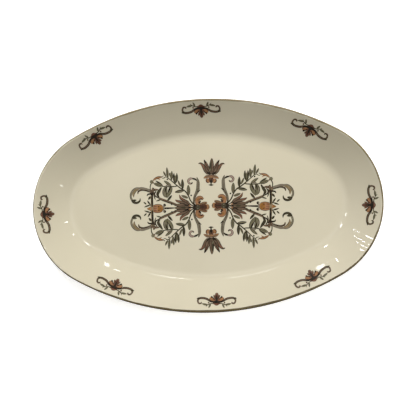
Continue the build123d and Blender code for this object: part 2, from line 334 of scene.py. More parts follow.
def glossy_material(name, gloss_scale, roughness, ripple_scale, ripple):
    """A glazed or enamelled surface: gloss that varies a little, and faint ripples."""
    material = bpy.data.materials.new(name)
    material.use_nodes = True
    nodes = material.node_tree.nodes
    links = material.node_tree.links
    shader = nodes["Principled BSDF"]
    shader.inputs["IOR"].default_value = GLAZE_IOR
    smoothest = (roughness * 0.8,) * 3 + (1,)
    roughest = (roughness * 1.3,) * 3 + (1,)
    gloss = mixed_noise(nodes, links, gloss_scale, smoothest, roughest)
    links.new(gloss, shader.inputs["Roughness"])
    coordinates = nodes.new("ShaderNodeTexCoord")
    noise = nodes.new("ShaderNodeTexNoise")
    noise.inputs["Scale"].default_value = ripple_scale
    noise.inputs["Detail"].default_value = 2
    bump = nodes.new("ShaderNodeBump")
    bump.inputs["Strength"].default_value = 1
    bump.inputs["Distance"].default_value = ripple
    links.new(coordinates.outputs["Object"], noise.inputs["Vector"])
    links.new(noise.outputs["Fac"], bump.inputs["Height"])
    links.new(bump.outputs["Normal"], shader.inputs["Normal"])
    return material


def mottled_material(name, low, high, scale, roughness, ripple_scale, ripple):
    """A glossy surface whose colour drifts between two tones, faster than its gloss does."""
    material = glossy_material(name, scale * 0.6, roughness, ripple_scale, ripple)
    nodes = material.node_tree.nodes
    links = material.node_tree.links
    colour = mixed_noise(nodes, links, scale, low, high)
    links.new(colour, nodes["Principled BSDF"].inputs["Base Color"])
    return material


def lip_enamel_with_painted_shade(front, back):
    """The lip line's enamel: a darker tone at the platter's front, which is painted shade,
    drifting to its own lighter olive at its back, with noise in the drift.
    """
    material = glossy_material("olive_line", 36, 0.2, 900, 2e-5)
    nodes = material.node_tree.nodes
    links = material.node_tree.links
    coordinates = nodes.new("ShaderNodeTexCoord")
    split = nodes.new("ShaderNodeSeparateXYZ")
    noise = nodes.new("ShaderNodeTexNoise")
    noise.inputs["Scale"].default_value = 50
    place = nodes.new("ShaderNodeMath")
    place.operation = "MULTIPLY_ADD"
    place.inputs[1].default_value = SHADE_DRIFT_PER_METRE
    ramp = nodes.new("ShaderNodeValToRGB")
    ramp.color_ramp.elements[0].position = 0.1
    ramp.color_ramp.elements[0].color = front
    ramp.color_ramp.elements[1].position = 0.8
    ramp.color_ramp.elements[1].color = back
    links.new(coordinates.outputs["Object"], split.inputs["Vector"])
    links.new(coordinates.outputs["Object"], noise.inputs["Vector"])
    links.new(split.outputs["Y"], place.inputs[0])
    links.new(noise.outputs["Fac"], place.inputs[2])
    links.new(place.outputs["Value"], ramp.inputs["Fac"])
    links.new(ramp.outputs["Color"], nodes["Principled BSDF"].inputs["Base Color"])
    return material


# Two tones, the mottling's scale, the roughness, and the ripples' scale and depth.
IVORY = mottled_material(
    "ivory_glaze", srgb(201, 193, 169), srgb(205, 197, 174), 9, 0.025, 45, 1e-5
)
CLAY = mottled_material(
    "fired_clay", srgb(214, 203, 178), srgb(226, 217, 196), 400, 0.75, 2500, 1e-4
)
# The lip line: its own olive at the back, darkened towards the front with painted shade.
LIP_LINE = lip_enamel_with_painted_shade(srgb(86, 75, 50), srgb(130, 117, 86))

# Each ink's two tones, as screen values, and the scale of its mottling.
INK_TONES = {
    "leaf": ((94, 89, 68), (114, 107, 84), 260),
    "dark": ((34, 30, 24), (50, 43, 34), 300),
    "deep": ((54, 50, 37), (72, 66, 49), 260),
    "rust": ((134, 94, 63), (158, 115, 80), 240),
    "brown": ((86, 70, 55), (110, 91, 73), 260),
    "red": ((58, 39, 30), (84, 56, 44), 260),
    "gold": ((116, 98, 68), (138, 119, 90), 220),
    "scroll": ((104, 95, 79), (126, 116, 99), 240),
    "mauve": ((142, 119, 106), (164, 140, 126), 240),
    "amber": ((124, 83, 38), (150, 105, 56), 240),
    "russet": ((98, 68, 52), (122, 86, 68), 240),
}
INKS = {
    name: mottled_material("ink_" + name, srgb(*low), srgb(*high), scale, 0.18, 900, 1e-5)
    for name, (low, high, scale) in INK_TONES.items()
}
INK_ORDER = list(INKS)

# ---------------------------------------------------------------------------
# Drawing. An element is (ink, line, half widths, level): a strip along a smooth line.
# Higher levels lie on lower ones, as line work lies on the washes under it. Points and
# widths are in mm, and a strip has a row of points about every STEP.

LINE = 0.6
STEP = 0.7
THINNEST = 0.08


def smooth(points, widths):
    """A Catmull-Rom line through the points, with the widths carried along it."""
    points = np.array(points, float)
    widths = np.interp(
        np.linspace(0, 1, len(points)), np.linspace(0, 1, len(widths)), np.array(widths, float)
    )
    rows = np.column_stack([points, widths])
    padded = np.vstack([2 * rows[0] - rows[1], rows, 2 * rows[-1] - rows[-2]])
    result = []
    for k in range(len(rows) - 1):
        a, b, c, d = padded[k : k + 4]
        steps = max(2, int(math.dist(b[:2], c[:2]) / STEP) + 1)
        for t in np.arange(steps) / steps:
            result.append(
                0.5 * (2 * b + (c - a) * t + (2 * a - 5 * b + 4 * c - d) * t**2)
                + 0.5 * (3 * b - 3 * c + d - a) * t**3
            )
    result.append(rows[-1])
    result = np.array(result)
    return result[:, :2], np.maximum(result[:, 2], THINNEST) / 2


def stroke(ink, points, widths, level=0):
    """A stroke of changing width."""
    line, half = smooth(points, widths)
    return (ink, line, half, level)


def normals(line):
    """Unit vectors across a line, to its left."""
    along = np.gradient(line, axis=0)
    along /= np.maximum(np.linalg.norm(along, axis=1), 1e-9)[:, None]
    return np.column_stack([-along[:, 1], along[:, 0]])


def inner_line(element, share, start=0.0, end=1.0, ink="dark", weight=LINE):
    """A thin line that runs inside a strip, at a share of its half width."""
    _, line, half, level = element
    across = normals(line)
    path = line + across * (half * share)[:, None]
    count = len(path)
    first = int(start * (count - 1))
    last = max(first + 2, int(round(end * (count - 1))) + 1)
    path = path[first:last]
    taper = np.sin(np.linspace(0.25, math.pi - 0.25, len(path))) ** 0.5
    return (ink, path, np.maximum(weight * taper, 0.1) / 2, level + 1)


def leaf(base, tip, width, bend=0.0, ink="leaf", edges=(0.9, -0.9), vein=True, level=0):
    """A leaf or petal from base to tip: its wash, its dark edges and its vein."""
    base = np.array(base, float)
    tip = np.array(tip, float)
    count = max(8, int(np.linalg.norm(tip - base) / STEP) + 1)
    t = np.linspace(0, 1, count)[:, None]
    across = np.array([-(tip - base)[1], (tip - base)[0]])
    across /= np.linalg.norm(across)
    line = base + (tip - base) * t + across * bend * 4 * t * (1 - t)
    half = width / 2 * np.sin(math.pi * t[:, 0] ** 0.92) ** 0.62
    body = (ink, line, np.maximum(half, 0.12), level)
    parts = [body]
    weight = LINE if width > 3 else 0.7 * LINE
    for share in edges:
        parts.append(inner_line(body, share, 0.04, 0.98, "dark", weight))
    if vein:
        parts.append(inner_line(body, 0.0, 0.0, 0.8, "dark", 0.8 * weight))
    return parts


def dot(place, diameter, ink="dark", level=1):
    """A round dot, drawn as a short strip."""
    x, y = place
    t = np.linspace(-1, 1, 9)
    line = np.column_stack([x + t * diameter / 2, np.full(9, y)])
    half = diameter / 2 * np.sqrt(np.maximum(1 - t**2, 0.01))
    return [(ink, line, half, level)]


def scroll(ink, points, widths, shares=(0.9, -0.9, 0.25), level=0, edge="dark", weight=LINE):
    """A scroll's body with its outlines and a line of shading."""
    body = stroke(ink, points, widths, level)
    return [body] + [inner_line(body, share, 0.02, 0.98, edge, weight) for share in shares]


def flipped(elements, axis):
    """Mirror images of elements: axis 0 changes the sign of x, axis 1 that of y."""
    result = []
    for ink, line, half, level in elements:
        line = line.copy()
        line[:, axis] *= -1
        result.append((ink, line[::-1], half[::-1], level))
    return result


def rising_scroll():
    """The scroll that rises beside the flower and curls over at its top."""
    rise = [(18.8, 2.6), (18.9, 7.4), (18, 11.5), (16.2, 15.5)]
    rise += [(14.2, 19.5), (13.5, 24), (13.3, 30), (14.6, 35.4)]
    widths = [1.8, 2.2, 2.6, 3.2, 4.0, 3.9, 3.4, 0.6]
    half = scroll("scroll", rise, widths, (0.85, -0.85, 0.1), 0, "deep")
    half += [stroke("dark", [(13.8, 17.8), (12.2, 19.4), (10.7, 20.4)], [1.8, 1.2, 0.4], 1)]
    half += [stroke("dark", [(14.8, 31.2), (16.8, 33), (19.8, 33.9)], [0.8, 2.2, 1.6], 1)]
    curl = [(19.6, 33.9), (22.5, 33.8), (24.5, 32), (24.6, 29.8)]
    curl += [(23, 28.1), (21, 28.1), (20.1, 29.3)]
    half += scroll("mauve", curl, [1.6, 2.5, 2.5, 2.2, 1.9, 1.5, 0.8], (0.9, -0.9))
    half += [stroke("dark", [(21.6, 28.4), (20.2, 28.5), (19.9, 29.6)], [0.8, 1.1, 0.5], 2)]
    return half


def leafy_branch():
    """The branch that grows outwards from the flower, with leaves on both its sides."""
    branch = [(18.4, 2.7), (21.3, 6), (23.2, 9), (25.2, 14)]
    branch += [(28.8, 19.3), (34.5, 23.3), (41, 28.8), (48.4, 35.6)]
    half = [stroke("deep", branch, [1.9, 1.6, 1.6, 1.5, 1.6, 1.5, 1.3, 0.9], 1)]
    half += leaf((24.7, 14.4), (24.9, 26.6), 4.0)
    half += leaf((25.4, 11.1), (33.5, 14.4), 3.0)
    half += dot((21.8, 14.1), 2.0)
    fan_leaf = leaf((30.2, 20), (41, 18.6), 3.7, 0.1, "leaf", (-0.85,), False)
    half += fan_leaf + [inner_line(fan_leaf[0], 0.55, 0.04, 0.92, "dark", 1.3)]
    half += leaf((31.8, 21.8), (31.8, 33.5), 3.4, 0.2, "deep", (0.85, -0.85), False)
    half += leaf((33.4, 24.8), (36.9, 32.6), 2.5, -0.3, "leaf", (-0.7,))
    half += leaf((40.1, 28.8), (38.2, 41), 3.0, 0.9, "deep", (0.8,), False)
    half += leaf((40.3, 28.8), (41.3, 41.2), 2.8, -0.7, "deep", (-0.8,), False)
    half += [stroke("leaf", [(40, 31.4), (39.9, 35), (39.9, 38.6)], [0.5, 1.2, 0.7], 2)]
    half += leaf((44.8, 32.8), (43.9, 43.6), 3.2, 0.0, "leaf", (0.85,))
    half += [stroke("deep", [(46, 37), (46.5, 39.4), (46.2, 41.6)], [0.7, 1.4, 1.3])]
    half += leaf((48.6, 35.8), (49.6, 48.2), 3.1, 0.0, "leaf", (-0.8,))
    half += leaf((50.4, 37.4), (53.9, 43.7), 2.4, -0.2, "leaf", (-0.7,))
    half += dot((49.3, 34.1), 2.0, "deep")
    return half


def tendril():
    """The tendril at the branch's end: its rust crescent, its knob and the thin stem down."""
    tip = [(47.8, 35.4), (51.2, 36.9), (53.3, 35.7), (55.6, 35.3)]
    half = [stroke("deep", tip, [0.8, 1.0, 0.9, 0.6], 1)]
    half += [stroke("deep", [(53.9, 38.3), (54.9, 37.7), (56.2, 36.9)], [0.9, 0.8, 0.5], 1)]
    crescent = [(55.2, 37), (58, 36.9), (60.8, 36.4), (63.6, 35.3), (66.4, 33.2)]
    half += scroll("rust", crescent, [0.8, 2.0, 2.7, 2.3, 1.2], (0.85, -0.85))
    half += [stroke("rust", [(61, 35.5), (59.2, 34.7), (57.8, 33.7)], [1.6, 1.2, 0.4])]
    half += dot((68.1, 31.7), 4.3, "leaf", 1) + dot((66.6, 30.6), 2.3, "brown", 2)
    fall = [(68.4, 30), (69.6, 27.6), (70, 25), (69.7, 21)]
    half += [stroke("deep", fall, [1.4, 1.3, 1.2, 1.2])]
    return half


def inner_branch():
    """The level branch inside the tendril, with its hanging leaves."""
    branch = [(37.6, 25.9), (41, 25.3), (50.3, 25.3), (55.8, 26)]
    half = [stroke("deep", branch, [1.1, 1.3, 1.4, 1.2], 1)]
    half += leaf((45, 26), (53.5, 32.4), 3.2, 0.1, "leaf", (0.85, -0.6), False)
    half += [stroke("scroll", [(46.6, 26.4), (49, 27.3), (51.6, 26.5)], [0.8, 2.2, 0.8])]
    half += leaf((55, 26.8), (63.6, 32.9), 2.2, 0.2, "deep", (0.8,), False)
    half += leaf((55.2, 26.3), (65.6, 29.7), 4.3, 0.0, "leaf", (-0.9, 0.9))
    left_leaf = [(45, 25.6), (46, 22), (47.4, 18.4), (49.4, 15.2), (50.8, 12.2)]
    half += scroll("leaf", left_leaf, [2.2, 4.6, 4.6, 3.8, 0.8], (0.88, -0.85))
    half += [stroke("dark", [(46, 24.8), (47.2, 21.8), (49, 18.6)], [0.8, 1.6, 0.5], 2)]
    right_leaf = [(51, 25.4), (52.2, 22), (53, 18.6), (52.8, 15.6), (51.4, 13)]
    half += scroll("leaf", right_leaf, [2.2, 5.4, 5.6, 4.2, 1.2], (0.88, -0.88))
    half += [stroke("dark", [(50.8, 24.8), (51.9, 22), (52.6, 18.6)], [0.9, 1.7, 0.6], 2)]
    half += [stroke("scroll", [(53.2, 22), (54.2, 18.8), (53.6, 16)], [0.5, 1.4, 0.6], 2)]
    curved_leaf = [(56.6, 24.8), (59.2, 20.8), (61.3, 17.5), (61, 15), (59.4, 13.2)]
    half += scroll("deep", curved_leaf, [1.2, 3.2, 3.4, 2.6, 0.8], (0.8, -0.8))
    hook = [(63, 20.6), (65.1, 17.4), (63.8, 14.4), (59.6, 12.1)]
    half += [stroke("dark", hook, [1.0, 1.8, 1.6, 0.9], 1)]
    half += [stroke("deep", [(65.4, 16.6), (65.2, 13.4), (64.2, 10.6)], [1.5, 1.4, 0.7], 1)]
    half += leaf((57.6, 10.2), (63.6, 8.6), 1.7, 0.2, "deep", (), False)
    return half


def thick_stem():
    """The thick stem from the fan to the trunk, with its twig."""
    line = [(37.6, 1.4), (40.3, 4), (45.3, 6), (49.5, 7.7), (55.9, 10.2), (60.4, 12.6)]
    stem = stroke("brown", line, [1.6, 2.6, 3.0, 3.0, 2.9, 2.0])
    half = [stem, inner_line(stem, -0.6, 0.05, 1.0, "deep", 1.1)]
    half += dot((45, 4.6), 2.1, "dark", 2)
    half += leaf((50, 8.6), (44.6, 15.1), 2.6, 0.0, "deep")
    return half


def trunk_and_crown():
    """The upright trunk, its crown and the small leaves outside it."""
    trunk = stroke("gold", [(68.2, 0), (68.3, 6), (68.2, 12), (68, 20)], [2.6, 3.0, 2.8, 3.2], 5)
    half = [trunk, inner_line(trunk, 0.1, 0.12, 1.0, "dark", 2.3)]
    half += [stroke("brown", [(67.4, 14.6), (67.9, 18.6), (68.2, 22.6)], [1.6, 5.0, 3.4], 5)]
    half += leaf((60, 22.1), (69.6, 21.2), 2.8, 0.4, "brown", (-0.8,), False, 5)
    half += leaf((65.6, 20.4), (67.4, 24.9), 3.2, 0.0, "brown", (0.8,), False, 5)
    half += [stroke("dark", [(65.4, 19.4), (67, 17.4), (67.6, 14)], [0.8, 1.3, 0.8], 7)]
    hook = [(68.8, 17.6), (71, 17.4), (73, 16.9), (74, 15.2)]
    half += [stroke("dark", hook, [2.2, 1.9, 1.7, 0.8], 7)]
    half += leaf((68.9, 14.5), (72.6, 10.7), 2.6, 0.3, "deep", (0.8,), False)
    half += leaf((70.3, 4.4), (73.8, 9.7), 2.0, 0.0, "deep", (0.7,), False)
    half += leaf((70.3, 4.3), (77.7, 2), 1.9, 0.2, "deep", (0.7,), False)
    half += leaf((75, 5.2), (78.3, 8.3), 1.8, 0.0, "deep", (), False)
    half += [stroke("dark", [(68.6, 2), (69.9, 4.2), (71, 5)], [1.0, 1.5, 0.6], 1)]
    return half


def large_scroll():
    """The large scroll: brown, then olive grey, then dark where it curls in."""
    bough = [(69, 20.6), (72, 22), (75.8, 23.4), (80.3, 24.5), (85.4, 24.4)]
    half = scroll("scroll", bough, [2.8, 3.2, 3.0, 2.8, 1.6], ())
    turn = [(81, 25), (86, 24.8), (89.6, 22.8), (92.3, 19.4), (93.3, 15.6), (92.5, 12), (90.4, 9)]
    turning = scroll("scroll", turn, [0.8, 2.2, 2.7, 2.6, 2.4, 2.3, 2.2], ())
    half += turning + [inner_line(turning[0], 0.85, 0.2, 1.0, "deep")]
    half += [inner_line(turning[0], -0.6, 0.4, 1.0, "leaf", 0.8)]
    tail = [(92, 11), (90.4, 8.7), (87.6, 7.5), (84.6, 8), (82.6, 10), (82.2, 12.8)]
    half += scroll("deep", tail, [2.4, 3.1, 2.9, 2.6, 2.0, 0.6], (0.5,), 1)
    half += leaf((92, 10.6), (86.6, 10.8), 2.6, 0.3, "deep", (0.8,), False, 1)
    inner = [(70, 19.8), (74.8, 21.6), (79, 22.4), (82.2, 22), (84.4, 20.4), (84.9, 17.8)]
    half += scroll("brown", inner, [1.8, 2.1, 2.1, 2.2, 2.0, 1.0], (-0.6, 0.2))
    glow = [(83.4, 23.8), (87.6, 22), (90, 18.4), (90, 14.2)]
    half += scroll("gold", glow, [1.2, 3.1, 2.9, 0.6], (-0.88,), 1)
    return half


def side_petals():
    """The rust flower's curling petal and its side lobe."""
    petal = [(14, 3), (14.8, 6), (14.4, 8.6), (13, 10.4), (11, 11), (9, 10.4), (7.9, 9)]
    widths = [4.4, 5.4, 5.8, 5.4, 4.6, 3.2, 1.8]
    half = scroll("rust", petal, widths, (0.92, -0.92, 0.45), 0, "brown", 0.7)
    half += [stroke("amber", [(12.4, 10.2), (14, 9.2), (14.6, 7.4)], [0.6, 1.6, 0.7], 2)]
    half += [stroke("red", [(12.2, 9.4), (10, 9.5), (8.2, 8.6)], [0.7, 1.9, 0.9], 3)]
    half += [stroke("dark", [(13, 4.4), (12, 5.8), (10.6, 7.6)], [2.2, 2.1, 0.7], 3)]
    lobe = [(12.8, 2.4), (9.5, 3.5), (6.5, 4.5), (3.4, 5)]
    half += scroll("rust", lobe, [2.4, 3.4, 3.4, 1.8], (0.9, -0.9, 0.4))
    half += [stroke("brown", [(11.4, 3), (8.4, 4.2), (4.4, 5.2)], [0.8, 1.1, 0.6], 1)]
    return half


def brown_fan():
    """Half of the brown fan behind the flower."""
    upper = [(23.6, 2.6), (26.3, 6.4), (30.5, 8.7), (34.1, 11.4), (35.8, 15.4)]
    half = scroll("brown", upper, [1.6, 3.2, 3.2, 2.7, 0.6], (0.88, -0.88))
    half += [stroke("russet", [(29.4, 8.6), (33.8, 11.6), (35.7, 14.8)], [0.8, 2.0, 0.6], 2)]
    lower = [(25, 2.4), (30, 5.4), (34.8, 7), (38.1, 7.9), (41, 9.6)]
    half += scroll("brown", lower, [1.6, 3.2, 3.2, 2.7, 0.6], (0.88, -0.88))
    half += [stroke("russet", [(34, 6.9), (38, 8), (40.6, 9.3)], [0.8, 1.8, 0.6], 2)]
    half += scroll("brown", [(24, 1), (32, 3.2), (42, 3.4)], [2.0, 3.8, 1.6], (0.88, -0.88))
    half += [stroke("rust", [(22.4, 1.2), (23.8, 2), (24.8, 2.8)], [0.6, 1.6, 0.6], 3)]
    half += [stroke("dark", [(16.4, 2), (18.4, 3.4), (18.9, 6.6)], [2.2, 1.9, 0.8], 4)]
    joint = [(17.6, 1), (20.6, 2), (22.8, 3.6), (24.4, 5.4)]
    half += [stroke("dark", joint, [2.0, 1.2, 1.2, 0.6], 4)]
    half += [stroke("dark", [(24.6, 4.6), (26, 2.6), (30, 3)], [0.7, 1.4, 0.6], 4)]
    return half


def flower_heart():
    """What lies on the spray's middle line from the flower to the fan's tip."""
    heart = [(0.9, 0), (1.8, 0), (4, 0), (8, 0), (14, 0)]
    middle = [stroke("rust", heart, [3.4, 5.8, 6.6, 6.2, 5.4], 1)]
    middle += [stroke("red", [(3.6, 0), (5, 0), (9, 0), (13.6, 0)], [3.0, 5.0, 5.8, 5.2], 2)]
    middle += [stroke("brown", [(1.4, -2), (1.1, 0), (1.4, 2)], [0.6, 1.3, 0.6], 2)]
    middle += [stroke("dark", [(5, 0), (8, 0), (11.6, 0)], [0.5, 1.0, 0.8], 3)]
    knot = [(11.6, 0), (13.4, 0), (16, 0), (18.6, 0)]
    middle += [stroke("deep", knot, [4.0, 6.6, 6.2, 2.2], 3)]
    middle += dot((14.4, 1.6), 1.3, "scroll", 4) + dot((14.4, -1.6), 1.3, "scroll", 4)
    middle += [stroke("dark", [(16.4, -2.6), (18.4, 0), (16.4, 2.6)], [1.4, 2.2, 1.4], 4)]
    middle += [stroke("dark", [(18, 0), (21, 0), (24, 0), (26.6, 0)], [1.8, 1.6, 1.7, 0.6], 5)]
    middle += leaf((23.4, 0), (42, 0), 5.0, 0.0, "brown", (0.88, -0.88), True, 2)
    middle += [stroke("deep", [(27, 0), (31, 0), (35, 0)], [0.6, 2.6, 0.6], 3)]
    return middle


def acorn():
    """The acorn between the fan and the trunk, with its stalk and its ribs."""
    middle = [stroke("dark", [(41.4, 0), (47, 0), (53.6, 0)], [1.2, 1.8, 2.2], 2)]
    middle += dot((53.6, 3.7), 3.5) + dot((53.6, -3.7), 3.5)
    middle += [stroke("scroll", [(54.4, -4.8), (54.6, 0), (54.4, 4.8)], [1.2, 1.8, 1.2], 2)]
    nut = [(55.4, 0), (56.4, 0), (58.6, 0), (62, 0), (66, 0), (70, 0), (74.4, 0)]
    middle += scroll("rust", nut, [3.0, 7.4, 9.8, 10.6, 9.0, 5.0, 0.8], (0.94, -0.94), 2)
    middle += [stroke("amber", [(56, 0), (58, 0), (61.6, 0)], [4.6, 7.6, 5.0], 3)]
    for side in (-2.6, 0, 2.6):
        rib = [(62.2, side), (65, 0.9 * side), (67.4, 0.7 * side)]
        middle += [stroke("russet", rib, [0.4, 1.3, 0.8], 3)]
    middle += [stroke("amber", [(71, 0), (72, 0), (74, 0)], [1.8, 2.0, 0.6], 7)]
    middle += dot((60.4, 2.4), 1.5, "red", 4) + dot((60.4, -2.4), 1.5, "red", 4)
    middle += dot((58.2, 0), 1.3, "russet", 4)
    return middle


def centre_spray():
    """One side's scrolls, branches and flower, growing out along +X."""
    half = rising_scroll() + leafy_branch() + tendril() + inner_branch() + thick_stem()
    half += trunk_and_crown() + large_scroll() + side_petals() + brown_fan()
    return half + flipped(half, 1) + flower_heart() + acorn()


def tulip():
    """A tulip on a short stalk, standing up +Y from the middle of the motif."""
    outer = [(3.4, 37), (6.4, 40.6), (8.7, 44.4), (11, 47.6), (13.4, 49), (15.6, 48.3)]
    half = scroll("brown", outer, [4.2, 5.2, 4.4, 3.0, 1.8, 0.5], (0.88, -0.88, 0.2))
    half += [stroke("russet", [(7.4, 42.4), (10.4, 46.4), (13.6, 48.6)], [0.6, 1.8, 0.6], 2)]
    inner = [(2.2, 36.8), (4.4, 42), (6.4, 47.8), (9, 53.4)]
    half += scroll("brown", inner, [4.2, 5.4, 4.0, 0.6], (0.88, -0.88, 0.2), 1)
    half += [stroke("red", [(4.6, 44), (6.2, 47.6), (7.8, 51)], [0.6, 1.3, 0.6], 3)]
    half += [stroke("dark", [(6.4, 49.6), (7.4, 50.8), (9, 53.2)], [0.6, 1.7, 0.6], 3)]
    flange = [(0, 34), (4, 33.6), (6.6, 32.7), (8.9, 31.3)]
    half += scroll("rust", flange, [3.2, 3.6, 2.9, 0.6], (0.85, -0.85), 1, "brown", 0.7)
    half += [stroke("brown", [(0, 34.4), (3.6, 34), (6.8, 33)], [0.9, 1.5, 0.7], 2)]
    half += dot((3.7, 28.6), 5.6, "rust", 0)
    half += [stroke("brown", [(0.6, 32), (1.6, 29), (1.2, 26.4)], [1.6, 2.2, 0.8], 0)]
    curl = [(5.2, 31.2), (6, 29), (5, 26.8), (2.9, 26.4)]
    half += [stroke("red", curl, [0.7, 1.1, 1.1, 0.5], 1)]
    half += [stroke("red", [(1.6, 32), (2, 30), (2.6, 28.6)], [1.8, 1.3, 0.5], 2)]
    half += [stroke("dark", [(0.6, 36.4), (3.2, 37.2), (5.4, 39.4)], [1.6, 2.6, 0.8], 3)]
    middle = [stroke("rust", [(0, 35.4), (0, 33), (0, 29.6)], [6.6, 5.6, 3.0])]
    middle += leaf((0, 35.6), (0.2, 55.4), 5.6, 0.0, "brown", (0.88, -0.88), True, 2)
    middle += [stroke("deep", [(-0.9, 40), (-1.2, 46), (-0.4, 52)], [0.8, 1.8, 0.6], 3)]
    middle += [stroke("leaf", [(-2, 39.6), (-1.6, 41.4), (-1.2, 43)], [0.5, 1.4, 0.5], 4)]
    stalk = [(0, 23.4), (0, 26), (0, 27.8), (0, 30), (0, 32)]
    middle += [stroke("dark", stalk, [1.6, 1.7, 3.4, 2.0, 0.8], 4)]
    middle += [stroke("dark", [(-2.8, 23.8), (0, 23.5), (2.8, 23.8)], [0.7, 1.8, 0.7], 3)]
    return half + flipped(half, 0) + middle


def rim_spray():
    """A small spray, with +X along the rim and +Y outwards."""
    arm = [(0.8, -0.9), (5, -1.1), (8, -2.3), (11, -4)]
    arm += [(15, -4.9), (18.6, -4.9), (20.7, -3.6), (21.1, -1.6)]
    half = scroll("brown", arm, [2.2, 1.9, 2.1, 2.2, 2.2, 2.2, 2.1, 1.9], (0.75, -0.75), 1)
    half += [stroke("dark", [(1, -0.9), (5, -1.1), (8.4, -2.4)], [2.0, 1.2, 0.6], 3)]
    half += [stroke("deep", [(19, -4.9), (21, -4.7), (22.4, -4.6)], [1.8, 1.4, 0.4], 2)]
    curl = [(21.1, -2), (20.2, 0.1), (18.5, 0.7), (17, 0.2), (17, -1)]
    half += scroll("brown", curl, [1.9, 1.6, 1.5, 1.4, 0.7], (0.8,), 1)
    half += [stroke("deep", [(2.4, 0.9), (6.4, 0.8), (9.6, 2)], [1.0, 0.8, 0.9], 1)]
    half += leaf((6.4, 1), (8.8, 5.1), 2.1, 0.0, "leaf", (0.7,), False)
    half += leaf((9.4, 2), (16.4, 0.8), 2.1, 0.2, "leaf", (-0.7,), False)
    half += [stroke("deep", [(9.8, 2.1), (10.9, 2.8), (11.8, 3.8)], [0.7, 0.7, 0.3], 1)]
    half += dot((8.8, -0.1), 1.9, "brown")
    fan = [(2.4, -2.6), (4.4, -3.2), (6, -4.2), (7.2, -5.6)]
    half += scroll("rust", fan, [1.8, 3.6, 4.4, 2.4], (0.9, -0.9))
    half += [stroke("dark", [(4.4, -5), (5.4, -5.8), (6.2, -6.7)], [0.6, 1.9, 1.1], 2)]
    half += [stroke("russet", [(1.6, -1.8), (1.9, -3.4), (2.1, -4.6)], [1.8, 2.0, 1.2])]
    half += [stroke("red", [(2.2, -3.4), (3.4, -4.2), (4.2, -5.4)], [1.4, 1.4, 0.6], 1)]
    half += leaf((0.9, -4.6), (3.4, -8.2), 2.2, 0.3, "russet", (0.85,), False, 1)
    petal = [(0, -3.4), (0, -5.2), (0, -7.2), (0, -9), (0, -10.3)]
    middle = scroll("russet", petal, [2.4, 3.4, 4.2, 3.4, 1.4], (0.9, -0.9), 2)
    middle += [stroke("red", [(0, -3.6), (0, -6), (0, -9)], [1.8, 2.0, 0.6], 3)]
    throat = [(0, 0.4), (0, -1.6), (0, -4), (0, -7.2)]
    middle += [stroke("dark", throat, [5.2, 3.2, 1.8, 0.5], 4)]
    middle += [stroke("red", [(-4.2, 0.2), (0, 1.3), (4.2, 0.2)], [0.8, 3.0, 0.8], 3)]
    middle += [stroke("russet", [(-3, 1.2), (0, 1.7), (3, 1.2)], [0.5, 1.5, 0.5], 5)]
    return half + flipped(half, 0) + middle


# How high the first wash lies, how much higher each level is, and the small steps that
# keep neighbouring strips of one level apart.
WASH_LIFT = 0.03
LEVEL_LIFT = 0.022
ORDER_LIFT = 0.0018
ORDER_STEPS = 11


def strip_faces(start, rows, across):
    """Faces of a closed strip: its top grid, its bottom grid and the band between."""
    faces = []
    wide = across + 1
    bottom = start + rows * wide
    for i in range(rows - 1):
        for j in range(across):
            a = start + i * wide + j
            faces.append((a, a + wide, a + wide + 1, a + 1))
            b = bottom + i * wide + j
            faces.append((b, b + 1, b + wide + 1, b + wide))
    border = [i * wide for i in range(rows)]
    border += [(rows - 1) * wide + j for j in range(1, across + 1)]
    border += [i * wide + across for i in range(rows - 2, -1, -1)]
    border += list(range(across - 1, 0, -1))
    for a, b in zip(border, border[1:] + border[:1]):
        faces.append((start + a, bottom + a, bottom + b, start + b))
    return faces


def columns_across(half):
    """How many columns of faces a strip needs to follow the dish under it."""
    widest = half.max()
    if widest < 0.4:
        return 1
    return 2 if widest < 1.2 else 4


def transfer(name, node, elements, origin, angle, size=1.0):
    """Lays a drawing on the dish, its origin at a place, its +X at an angle, at a size."""
    cosine, sine = size * math.cos(angle), size * math.sin(angle)
    vertices = []
    faces = []
    inks = []
    for order, (ink, line, half, level) in enumerate(elements):
        across = columns_across(half)
        side = normals(line)
        shares = np.linspace(-1, 1, across + 1)
        grid = line[:, None, :] + side[:, None, :] * (half[:, None] * shares)[:, :, None]
        flat = grid.reshape(-1, 2)
        x = origin[0] + cosine * flat[:, 0] - sine * flat[:, 1]
        y = origin[1] + sine * flat[:, 0] + cosine * flat[:, 1]
        surface = dish_height(x, y)
        lift = WASH_LIFT + LEVEL_LIFT * level + ORDER_LIFT * (order % ORDER_STEPS)
        start = len(vertices)
        vertices += list(zip(x, y, surface + lift))
        vertices += list(zip(x, y, surface))
        new_faces = strip_faces(start, len(line), across)
        faces += new_faces
        inks += [INK_ORDER.index(ink)] * len(new_faces)
    piece = new_object(name, vertices, faces, rounded=False)
    for material in INKS.values():
        piece.data.materials.append(material)
    piece.data.polygons.foreach_set("material_index", inks)
    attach(piece, "root")
    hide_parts(node)


# Where the transfers were laid, as in the CAD. On the floor: x and y in mm, the way the
# motif's own +X points in degrees, and its size.
FLOOR_SPRAYS = {
    "centre_spray_right": (5.6, 0.35, -2.5, 0.996),
    "centre_spray_left": (4.1, -1.25, 180.2, 0.983),
}
TULIPS = {
    "tulip_upper": (4.8, 0.7, -2.7, 0.982),
    "tulip_lower": (4.1, -1.55, 181.0, 0.981),
}
# On the wall: the arc of the oval, the direction from its centre in degrees, how far in
# from the lip in mm, and the lean from square in degrees.
RIM_SPRAYS = {
    "rim_spray_right": ("end", -3.7, 10.6, -0.5),
    "rim_spray_upper_right": ("side", 65.8, 10.3, -3),
    "rim_spray_upper": ("side", 90.4, 8.9, 0),
    "rim_spray_upper_left": ("side", 115.1, 8.8, 5),
    "rim_spray_left": ("end", 183.7, 10.0, 0),
    "rim_spray_lower_left": ("side", 248.9, 9.4, -1),
    "rim_spray_lower": ("side", 271.9, 10.1, -2.5),
    "rim_spray_lower_right": ("side", 293.7, 9.8, 2),
}


